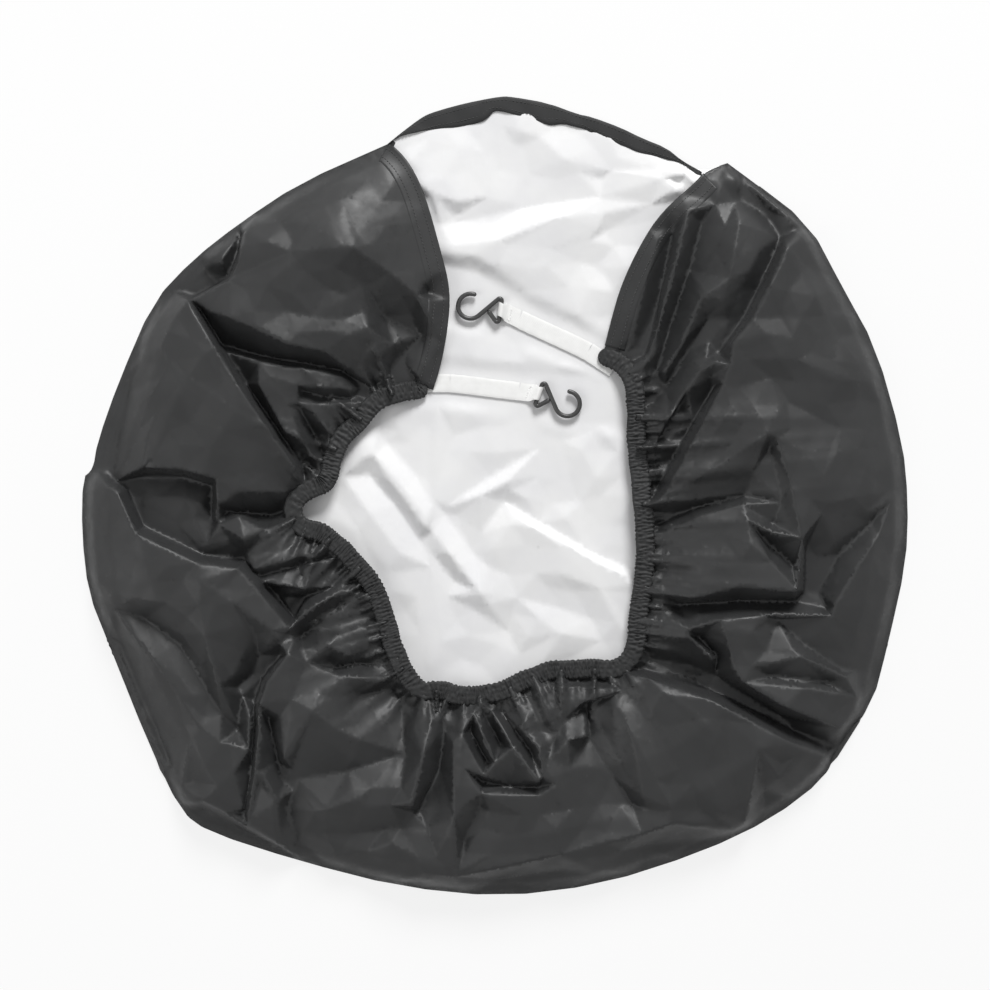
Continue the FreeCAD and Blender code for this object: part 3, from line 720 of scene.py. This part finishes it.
def webbing(name, turn):
    look = Look(name, 0.75, Sheen_Weight=0.2, Sheen_Roughness=0.5)
    look.colour(look.noise(9, 3), [(0.3, (0.83, 0.83, 0.82)), (0.7, (0.89, 0.89, 0.88))])
    weave = look.math("MULTIPLY", look.waves(1.1, "Y", -turn, 0.4), look.waves(0.7, "X", -turn, 0.4))
    look.raise_by(weave, 0.1, 0.7)
    look.raise_by(look.noise(1.2, 2), 0.06, 0.5)
    return look.material


def thread(name, value):
    look = Look(name, 0.6, Sheen_Weight=0.3, Sheen_Roughness=0.4)
    look.colour(look.noise(1.5, 2), [(0.3, grey(value * 0.8)), (0.7, grey(value * 1.25))])
    look.raise_by(look.waves(0.4, "DIAGONAL", 20), 0.08, 0.8)
    return look.material


def coated_wire(name):
    look = Look(name, 0.38, Specular_IOR_Level=0.5, Coat_Weight=0.15, Coat_Roughness=0.25)
    look.colour(look.noise(6, 3), [(0.3, grey(0.016)), (0.7, grey(0.028))])
    look.rough(look.noise(2.5, 3), 0.30, 0.50)
    look.raise_by(look.noise(1.6, 3), 0.06, 0.6)
    return look.material


def tape(name, value):
    look = Look(name, 0.7, Sheen_Weight=0.1)
    look.colour(look.noise(5, 2), [(0.3, grey(value * 0.85)), (0.7, grey(value * 1.15))])
    look.raise_by(look.math("MULTIPLY", look.waves(1.0, "X", 45), look.waves(1.0, "Y", 45)), 0.12, 0.8)
    return look.material


def background_rays(tree):
    """1 for rays that see the white background: camera, glossy and transmission rays."""
    path = tree.nodes.new("ShaderNodeLightPath")
    seen = path.outputs["Is Camera Ray"]
    for ray in ("Is Glossy Ray", "Is Transmission Ray"):
        either = tree.nodes.new("ShaderNodeMath")
        either.operation = "MAXIMUM"
        tree.links.new(seen, either.inputs[0])
        tree.links.new(path.outputs[ray], either.inputs[1])
        seen = either.outputs[0]
    return seen


def pale_floor(name):
    """Matt paper floor that a camera sees almost white, with the object's shadow on it."""
    look = Look(name, 0.9)
    look.colour(look.noise(400, 2), [(0.3, (0.87, 0.87, 0.87)), (0.7, (0.89, 0.89, 0.89))])
    look.raise_by(look.noise(3, 3), 0.02, 0.2)
    glow = look.node("ShaderNodeEmission", Color=(1, 1, 1, 1), Strength=1.0)
    seen = background_rays(look.tree)
    mix = look.node("ShaderNodeMixShader")
    look.link(look.math("MULTIPLY", seen, 0.8), mix.inputs[0])
    look.link(look.shader.outputs[0], mix.inputs[1])
    look.link(glow.outputs[0], mix.inputs[2])
    look.link(mix.outputs[0], look.tree.nodes["Material Output"].inputs["Surface"])
    return look.material


BLACK = black_cloth("black_cloth")
# Rougher copy of the black cloth for the hems, with a darker colour that is painted shade of their fine
# puckers.
SHADED_BLACK_HEM = black_cloth("black_hem_cloth_painted_shade", 0.018, (0.6, 0.7))
SILVER = silver_lining("silver_lining")
BLACK_THREAD = thread("black_thread", 0.018)
WHITE_THREAD = thread("white_thread", 0.8)
SEAM_TAPE = tape("seam_tape", 0.03)
WIRE = coated_wire("coated_wire")


# ---- camera, lights, floor ----
scene = bpy.context.scene
scene.view_settings.view_transform = "Standard"
VIEW_WIDTH = 0.880                      # what the picture takes in at the object's mid height
camera_data = bpy.data.cameras.new("camera")
camera_data.lens = 100
camera_data.sensor_width = 36
camera_data.clip_end = 20
camera = bpy.data.objects.new("camera", camera_data)
camera.location = (0, 0.0018, VIEW_WIDTH * camera_data.lens / camera_data.sensor_width + 0.02)
scene.collection.objects.link(camera)
scene.camera = camera


def area_light(name, place, size, power):
    data = bpy.data.lights.new(name, "AREA")
    data.shape = "DISK"
    data.size = size
    data.energy = power
    lamp = bpy.data.objects.new(name, data)
    lamp.location = place
    lamp.rotation_euler = (-Vector(place)).to_track_quat("-Z", "Y").to_euler()
    scene.collection.objects.link(lamp)


area_light("key_light", (1.0, 4.45, 2.85), 1.9, 295)
area_light("fill_light", (-1.9, -0.6, 1.6), 1.4, 11)

world = bpy.data.worlds.new("world")
scene.world = world
world.use_nodes = True
background = world.node_tree.nodes["Background"]
background.inputs["Color"].default_value = (1, 1, 1, 1)
level = world.node_tree.nodes.new("ShaderNodeMapRange")
level.inputs["To Min"].default_value = 0.36
level.inputs["To Max"].default_value = 1.0
world.node_tree.links.new(background_rays(world.node_tree), level.inputs["Value"])
world.node_tree.links.new(level.outputs["Result"], background.inputs["Strength"])

FLOOR_HALF = 30000.0
floor_corners = [(-1, -1), (1, -1), (1, 1), (-1, 1)]
floor = add_mesh("floor", [(x * FLOOR_HALF, y * FLOOR_HALF, FLOOR_LEVEL) for x, y in floor_corners],
                 [(0, 1, 2, 3)], [pale_floor("pale_floor")])
floor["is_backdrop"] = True


# ---- shared lines ----
rim_line = resample(rounded(plan(RIM), 1), 4.0)
left_end_line = resample(rounded(plan(LEFT_END), 2), 3.0)
right_end_line = resample(rounded(plan(RIGHT_END), 2), 3.0)
gap_line = resample(rounded(plan(GAP), 1), 4.0)
opening_line = resample(rounded(plan(OPENING), 2), HEM_GRAIN)
hem_side = sideways(opening_line)       # from the opening's edge into the band
hem_length = arclength(opening_line)[-1]
if inside(opening_line[30:31] + hem_side[30:31] * 4, opening_line)[0]:
    hem_side = -hem_side
hem_line = opening_line + hem_side * CASING_WIDTH * 0.5
hem_line = hem_line[nearest(hem_line, opening_line)[0] > CASING_WIDTH * 0.48]
hem_line = resample(hem_line, HEM_GRAIN)


def node_points(*nodes):
    return np.vstack([[tuple(v.co) for v in bpy.data.objects[node].data.vertices] for node in nodes]) / MM


casing_points = node_points("left_hem_casing", "right_hem_casing")
casing_gaps = np.linalg.norm(casing_points[None, :, :2] - hem_line[:, None], axis=2)
nearest_casing = np.argsort(casing_gaps, axis=1)[:, :16]
hem_height = casing_points[nearest_casing, 2].mean(axis=1)
hem_gap = np.minimum(arclength(hem_line), arclength(hem_line[::-1])[::-1])
hem_height = np.maximum(hem_height, 5.0 + 9.0 * smooth((hem_gap - 6) / 32))
hem_height = softened(hem_height, 12)


# ---- the band ----
def wander(length, step, spread, reach):
    """Smooth random values along a line, about -spread to spread, changing over a reach."""
    knots = rng.uniform(-spread, spread, int(length / reach) + 3)
    at = np.arange(0, length + step, step)
    return at, np.interp(at, np.arange(len(knots)) * reach, knots)


def gather_waves(length):
    """Gathers of the hem, small to large: phase and height along the hem, and reach into the band."""
    waves = []
    for pitch, height, reach in ((6.5, 2.1, 16.0), (14.0, 4.4, 38.0), (33.0, 5.5, 66.0)):
        at, stretch = wander(length, 1.0, 0.4, pitch * 2.2)
        phase = np.cumsum(math.tau / (pitch * (1 + stretch)))
        _, swell = wander(length, 1.0, 0.45, pitch * 2.7)
        waves.append((at, phase, height * (0.9 + swell), reach))
    return waves


GATHERS = gather_waves(hem_length)


def gathers(along, distance):
    """Height of the gathers, as sharp ridges that run away from the hem."""
    total = np.zeros(len(along))
    for at, phase, height, reach in GATHERS:
        turn = np.interp(along, at, phase)
        ridge = 1 - 2 * np.abs(np.sin(turn / 2)) ** 0.75
        total += ridge * np.interp(along, at, height) * np.exp(-(distance / reach) ** 1.3)
    return total


CALM = ((-130, 235, 90), (330, 60, 80), (310, -120, 60), (30, -325, 60), (-320, -60, 50), (-260, 170, 60))
BUMP_AT = (0.0, 0.06, 0.15, 0.30, 0.55, 0.80, 0.93, 1.0)
BUMP_RISE = (0.0, 0.45, 0.80, 1.0, 0.92, 0.50, 0.14, 0.0)

band_outline = np.vstack([rim_line[:-1], right_end_line[::-1][:-1], hem_line[::-1],
                          left_end_line[::-1][1:-1]])
fold_height, creases = fold_surface(band_outline, BAND_FOLDS, 22.0, 23.0, 1.15, CALM)
rim_side = sideways(rim_line)
rim_rows = [rim_line[6:-6] + rim_side[6:-6] * depth for depth in RIM_ROWS]
rim_rows = [row[nearest(row, rim_line)[0] > depth * 0.95] for row, depth in zip(rim_rows, RIM_ROWS)]
creases = [c for c in creases if nearest(c, rim_line)[0].min() > 13 or nearest(c, rim_line)[0].max() > 60]
band_points, band_faces = fine_mesh(band_outline, creases + rim_rows, GRAIN, hem_line, 20.0, HEM_GRAIN)

to_rim, _ = nearest(band_points, rim_line)
to_hem, hem_index = nearest(band_points, hem_line)
end_lines = np.vstack([left_end_line, right_end_line])
to_end, _ = nearest(band_points, end_lines)
along_hem = arclength(hem_line)[hem_index] * hem_length / arclength(hem_line)[-1]
inner_gap = np.minimum(to_hem, 400)
reach = to_rim / (to_rim + inner_gap + 1e-6)
base = 1.2 + (hem_height[hem_index] + 0.8 - 1.2) * reach
rise = np.interp(reach, BUMP_AT, BUMP_RISE) * CROWN * (0.35 + 0.65 * smooth(to_end / 95))
shoulder = np.sqrt(1 - (1 - np.minimum(to_rim / 15, 1)) ** 2)
creased = fold_height(band_points) * FOLD_SCALE * smooth(to_rim / 9) * smooth(to_hem / 16)
creased *= 0.35 + 0.65 * smooth(to_end / 25)
gathered = gathers(along_hem, to_hem) * smooth(to_end / 20) * smooth(to_rim / 30)
band_height = (base + rise) * shoulder + creased + gathered
band_height = relaxed(band_points, band_faces, band_height, 0.2, 1, to_rim < 0.1)
lowest = np.where(to_rim < 5, RIM_HEIGHT, BAND_LOW)
band_height = np.maximum(band_height, lowest)

band = add_mesh("cover_band", np.column_stack([band_points, band_height]), band_faces, [BLACK, SILVER])
thicken(band, CLOTH)
hand_in(band, "cover", "black_cloth", "left_band", "right_band", "left_band_lining", "right_band_lining",
        "band_joint_thread")

band_top = caster(np.column_stack([band_points, band_height]), band_faces)


# ---- gathered hem round the opening ----
def hem_tube(name):
    """The casing, drawn up by its elastic into fine uneven puckers."""
    line = resample(rounded(plan(OPENING), 2), RUFFLE_GRAIN)
    side = np.stack([softened(sideways(line)[:, k], 12) for k in range(2)], axis=1)
    if inside(line[30:31] + side[30:31] * 4, opening_line)[0]:
        side = -side
    along = arclength(line)
    height = np.interp(along / along[-1], np.linspace(0, 1, len(hem_height)), hem_height)
    rows = 4
    pucker = []
    for _ in range(rows + 1):
        at, stretch = wander(along[-1], 1.0, 0.6, 3.5)
        phase = np.interp(along, at, np.cumsum(math.tau / (PUCKER_PITCH * (1 + stretch))))
        _, swell = wander(along[-1], 1.0, 0.9, 3.0)
        pucker.append(np.cos(phase) * (1 + np.interp(along, at, swell)))
    at, drift = wander(along[-1], 1.0, 1.0, 11.0)
    drift = np.interp(along, at, drift)
    ends = smooth(np.minimum(along, along[-1] - along) / 10)
    upper = [(u, 1) for u in np.linspace(-1, 1, 13)]
    profile = upper + [(u, -1) for u in np.linspace(0.8, -0.8, 7)]
    half = CASING_WIDTH / 2
    end_gap = np.minimum(along, along[-1] - along)
    taper = np.sqrt(1 - (1 - np.clip(end_gap / 9, 0.01, 1)) ** 2)
    crinkle = rng.normal(0, 1, (len(line) + 2, len(profile)))
    crinkle = (crinkle[:-2] + crinkle[1:-1] * 1.5 + crinkle[2:]) * 0.13
    points = []
    for n in range(len(line)):
        for k, (u, face) in enumerate(profile):
            place = (u + 1) / 2 * rows
            low_row = min(int(place), rows - 1)
            blend = smooth(place - low_row)
            wave = (pucker[low_row][n] * (1 - blend) + pucker[low_row + 1][n] * blend) * ends[n]
            round_off = math.sqrt(max(0.0, 1 - abs(u) ** 4))
            channel = 1 - 0.16 * math.cos(place * math.tau) * round_off
            out = u * half * taper[n] + half + 0.4 + (0.7 * drift[n] + 0.35 * wave * abs(u) ** 3) * taper[n]
            puff = face * CASING_THICKNESS / 2 * round_off * 0.75 * channel
            z = height[n] + (puff + 0.66 * wave + crinkle[n, k]) * taper[n]
            points.append((line[n][0] + side[n][0] * out, line[n][1] + side[n][1] * out, z))
    return add_mesh(name, points, tube_faces(len(line), len(profile)), [SHADED_BLACK_HEM])


ruffle = hem_tube("hem_ruffle")
hand_in(ruffle, "cover", "black_cloth", "left_hem_casing", "right_hem_casing", "hem_elastic",
        "hem_casing_thread", "left_root_stitches", "right_root_stitches")


# ---- hems on the band's two ends ----
def end_hem(side_name, line, inward):
    """Turned hem that lies on the end of the band, with its two rows of stitches."""
    line = resample(line, 2.0)
    side = np.stack([softened(sideways(line)[:, k], 6) for k in range(2)], axis=1) * inward
    across = (-0.7, -0.55, 0.0, 1.5, 5, 9, 13, 16, END_HEM_WIDTH, END_HEM_WIDTH + 0.3)
    over = (-0.9, 0.0, 0.5, 0.45, 0.3, 0.4, 0.3, 0.35, 0.15, -0.3)
    points = []
    for n in range(len(line)):
        ring = np.array([line[n] + side[n] * max(a, 0.8) for a in across])
        tops = band_top(ring, np.nan)
        tops = np.where(np.isnan(tops), np.nanmean(tops) if not np.all(np.isnan(tops)) else 8.0, tops)
        upper = [(*(line[n] + side[n] * a), t + o) for a, t, o in zip(across, tops, over)]
        lower = [(x, y, z - 1.5) for x, y, z in reversed(upper[2:-1])]
        points += upper + lower
    around = len(across) + len(across) - 3
    piece = add_mesh(side_name + "_end_hem_strip", points, tube_faces(len(line), around), [BLACK])
    hand_in(piece, "cover", "black_cloth", side_name + "_end_hem")
    for n_row, row in enumerate(END_STITCH_ROWS):
        path = line + side * row
        tops = band_top(path, np.nan)
        tops = np.interp(np.arange(len(tops)), np.flatnonzero(~np.isnan(tops)), tops[~np.isnan(tops)])
        path = np.column_stack([path, tops + 0.55])
        row = stitches(f"{side_name}_end_stitches_{n_row + 1}", path, 3.2, 0.8, 0.34, BLACK_THREAD)
        nodes = [side_name + "_end_hem_thread"] if n_row == 0 else []
        hand_in(row, "cover", "black_thread", *nodes)


end_hem("left", left_end_line, -1)
end_hem("right", right_end_line[6:-8], -1)


# ---- straps ----
def joint_named(name):
    return next(j for j in frame["joints"] if j["name"] == name)


def strap_way(joint):
    """Direction in plan along a strap, square to its joint's level axis."""
    x, y = joint["axis"][:2]
    return np.array([-y, x]) / math.hypot(x, y)


def middle_of(node):
    low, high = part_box(node)
    return np.array([(low.x + high.x) / 2, (low.y + high.y) / 2]) / MM


STRAPS = {}
for side_name in ("left", "right"):
    lift, swing = joint_named(side_name + "_strap_lift"), joint_named(side_name + "_hook_swing")
    root = np.array(lift["pos_m"][:2]) / MM
    root_way, tail_way = strap_way(lift), strap_way(swing)
    loop_middle = middle_of(side_name + "_strap_loop")
    low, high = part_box(side_name + "_strap_web")
    straight = np.array(swing["pos_m"][:2]) / MM - root
    slant = np.linalg.det(np.array([tail_way, straight])) / (tail_way @ straight)
    STRAPS[side_name] = {"root": root, "root_way": root_way, "tail_way": tail_way, "loop": loop_middle,
                         "slant": slant, "low": low.z / MM, "top": high.z / MM}


def on_loop(strap, along, across):
    """Point in plan beside the loop's middle, on webbing that comes straight from its root."""
    side = np.array([-strap["tail_way"][1], strap["tail_way"][0]])
    return strap["loop"] + strap["tail_way"] * along + side * (across + strap["slant"] * (along - 6.5))


def bent_route(strap):
    """Middle line of the strap's free length, from its hinge to its loop."""
    root, way = strap["root"], strap["root_way"]
    start, end = on_loop(strap, -20.0, 0.0), on_loop(strap, -9.5, 0.0)
    return rounded(np.array([root, root + way * 12.0, start, end]), 3)


def ribbon(name, line, low, top, material):
    """Flat elastic webbing with ribbed faces along a line in plan."""
    line = resample(line, 1.0)
    side = sideways(line)
    ribs = 17
    across = np.linspace(-1, 1, ribs)
    points = []
    for n in range(len(line)):
        edge = 1 + 0.008 * math.sin(n * 0.61)
        half = STRAP_WIDTH / 2 * edge
        for u in across:
            rib = 0.06 * math.cos(u * ribs * math.pi / 2)
            z = top - 0.12 + rib - 0.35 * abs(u) ** 8
            points.append((*(line[n] + side[n] * half * u), z))
        for u in across[::-1]:
            z = low + 0.35 * abs(u) ** 8
            points.append((*(line[n] + side[n] * half * u), z))
    return add_mesh(name, points, tube_faces(len(line), ribs * 2), [material], sharp=60)


def strap_eye(name, strap, material):
    """End of the webbing, folded over the hook's bar and back under itself."""
    low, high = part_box(name.replace("_strap_eye", "_strap_loop"))
    half_width = LOOP_WIDTH / 2
    span = LOOP_SPAN
    thick = STRAP_THICKNESS * 0.85
    upper = high.z / MM - thick / 2
    lower = low.z / MM + thick / 2
    bend = (upper - lower) / 2
    middle = (upper + lower) / 2
    level = (strap["low"] + strap["top"]) / 2
    path = [(-span, level), (-1.0, level + 0.1), (2.5, level + 1.0), (span - bend - 0.9, upper - 0.7)]
    path += [(span - bend + bend * math.sin(t), middle + bend * math.cos(t))
             for t in np.linspace(0, math.pi, 9)]
    path += [(span - bend - 2.5, lower + 0.05), (-span * 0.2, lower - 0.1)]
    path = rounded(np.array(path), 1)
    points = []
    for n in range(len(path)):
        ahead = path[min(n + 1, len(path) - 1)] - path[max(n - 1, 0)]
        ahead /= np.linalg.norm(ahead)
        normal = np.array([-ahead[1], ahead[0]])
        taper = half_width + (STRAP_WIDTH / 2 - half_width) * smooth((5.6 - path[n][0]) / 3.0)
        for u, v in [(u, 1) for u in np.linspace(-1, 1, 9)] + [(u, -1) for u in np.linspace(1, -1, 9)]:
            along = path[n] + normal * v * thick / 2 * (1 - 0.3 * abs(u) ** 8)
            points.append((*on_loop(strap, along[0], u * taper), along[1]))
    return add_mesh(name, points, tube_faces(len(path), 18), [material], sharp=60)


def eye_stitches(name, strap, top):
    """Two rows of stitches across the end of the webbing, which close its loop."""
    rows = [[(*on_loop(strap, along, across), top) for across in np.linspace(-5.5, 5.5, 12)]
            for along in (-1.5, 1.0)]
    return stitches(name, np.array(rows[0] + rows[1][::-1]), 2.2, 0.6, 0.3, WHITE_THREAD)


for side_name, strap in STRAPS.items():
    body, end_body = side_name + "_strap", side_name + "_strap_end"
    root, way = strap["root"], strap["root_way"]
    look = webbing(side_name + "_webbing", math.degrees(math.atan2(way[1], way[0])))
    route = bent_route(strap)
    tab_line = np.array([root - way * 19.0, root, root + way * 9.0])
    tab = ribbon(side_name + "_strap_root", tab_line, strap["low"], strap["top"], look)
    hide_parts(side_name + "_strap_tab")
    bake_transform(tab)
    dense = resample(route, 1.0)
    dense = dense[(dense - root) @ way > 8.5]
    free = ribbon(side_name + "_strap_webbing", dense, strap["low"], strap["top"], look)
    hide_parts(side_name + "_strap_web")
    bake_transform(free)
    eye = strap_eye(side_name + "_strap_eye", strap, look)
    hand_in(eye, end_body, "white_webbing", side_name + "_strap_loop")
    spots = np.array([on_loop(strap, along, 0.0) for along in (-1.5, 1.0)])
    eye_top = caster([tuple(v.co / MM) for v in eye.data.vertices],
                     [tuple(p.vertices) for p in eye.data.polygons])(spots).mean()
    closing = eye_stitches(side_name + "_eye_stitches", strap, eye_top + 0.1)
    hand_in(closing, end_body, "white_thread", side_name + "_loop_stitches")


# ---- the round face: silver above, black below ----
def swept_by(side_name, strap):
    """Lines in plan that a strap and its hook pass over while they stretch."""
    reach = joint_named(side_name + "_strap_stretch")["range_m"][1] / MM
    lines = [np.vstack([strap["root"] - strap["root_way"] * 20, bent_route(strap)])]
    for share in np.linspace(0, 1, 7):
        start = strap["loop"] + strap["root_way"] * reach * share
        lines.append(np.vstack([start, start + strap["tail_way"] * 48]))
    return np.vstack([resample(line, 4.0) for line in lines])


strap_clear = np.vstack([swept_by(side_name, strap) for side_name, strap in STRAPS.items()])
face_outline = np.vstack([rim_line[:-1], gap_line[:-1]])
face_folds, face_creases = fold_surface(face_outline, LINING_FOLDS, 40.0, 24.0, 0.55)
seen_area = np.vstack([left_end_line[::-1], gap_line[::-1][1:-1], right_end_line[::-1], opening_line[::-1]])


def in_sight(points):
    return inside(points, seen_area) | (nearest(points, seen_area)[0] < 30)


face_points, face_faces = fine_mesh(face_outline, face_creases + [rim_rows[2]], FACE_GRAIN, wide=in_sight)
face_rise = face_folds(face_points) * LINING_SCALE * smooth((nearest(face_points, strap_clear)[0] - 13) / 14)
face_rise *= smooth(nearest(face_points, face_outline)[0] / 14)
on_edge = nearest(face_points, face_outline)[0] < 0.1
face_rise = relaxed(face_points, face_faces, face_rise, 0.4, 1, on_edge)
cover_above = band_top(face_points, 60.0) - CLOTH - 1.6
face_height = np.minimum(FACE_HEIGHT + np.clip(face_rise, -0.05, 8), np.maximum(cover_above, FACE_HEIGHT))
edge_gap, _ = nearest(face_points, rim_line)
face_height = 0.55 + (face_height - 0.55) * smooth(edge_gap / 8)
face = add_mesh("cover_face", np.column_stack([face_points, face_height]), face_faces, [SILVER, BLACK])
for polygon in face.data.polygons:
    polygon.material_index = int(edge_gap[list(polygon.vertices)].min() < 4.5)
thicken(face, 1.0, rim_slot=1)
for vertex in face.data.vertices:
    vertex.co.z = max(vertex.co.z, 0.05 * MM)
hand_in(face, "cover", "silver_lining", "face_panel", "face_lining")


# ---- turned-over hem on the face's free edge ----
def face_hem():
    """The hem between its outer and inner outline, raised a little in waves, and its two rows of stitches."""
    count = 90
    outer = resample(rounded(plan(GAP[1:]), 1), 1.0)
    inner = resample(rounded(plan(FACE_HEM_INNER), 1), 1.0)
    outer = outer[np.linspace(0, len(outer) - 1, count).astype(int)]
    inner = inner[np.linspace(0, len(inner) - 1, count).astype(int)]
    shares = (-0.03, 0.0, 0.08, 0.3, 0.55, 0.8, 0.95, 1.0)
    over = (0.4, 1.6, 2.1, 2.0, 2.2, 2.0, 1.9, 0.9)
    points = []
    for n in range(count):
        wave = 0.35 * math.sin(n * 0.7) + 0.25 * math.sin(n * 0.31 + 1)
        for share, z in zip(shares, over):
            spot = outer[n] * (1 - share) + inner[n] * share
            points.append((*spot, 0.9 + z + wave * share))
        for share, z in reversed(list(zip(shares[1:-1], over[1:-1]))):
            spot = outer[n] * (1 - share) + inner[n] * share
            points.append((*spot, 1.0))
    piece = add_mesh("face_edge_hem", points, tube_faces(count, 2 * len(shares) - 2), [SHADED_BLACK_HEM])
    hand_in(piece, "cover", "black_cloth", "face_hem")
    for n_row, share in enumerate((0.18, 0.72)):
        path = outer * (1 - share) + inner * share
        path = np.column_stack([path, np.full(count, 3.0)])
        row = stitches(f"face_edge_stitches_{n_row + 1}", path, 3.4, 0.9, 0.36, BLACK_THREAD)
        nodes = ["face_hem_thread"] if n_row == 0 else []
        hand_in(row, "cover", "black_thread", *nodes)


face_hem()

# ---- CAD pieces that stay ----
for node, material in (("left_hook", WIRE), ("right_hook", WIRE), ("rim_seam_tape", SEAM_TAPE),
                       ("rim_seam_thread", BLACK_THREAD)):
    for entry in bpy.data.objects[node].material_slots:
        entry.material = material

low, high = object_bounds()
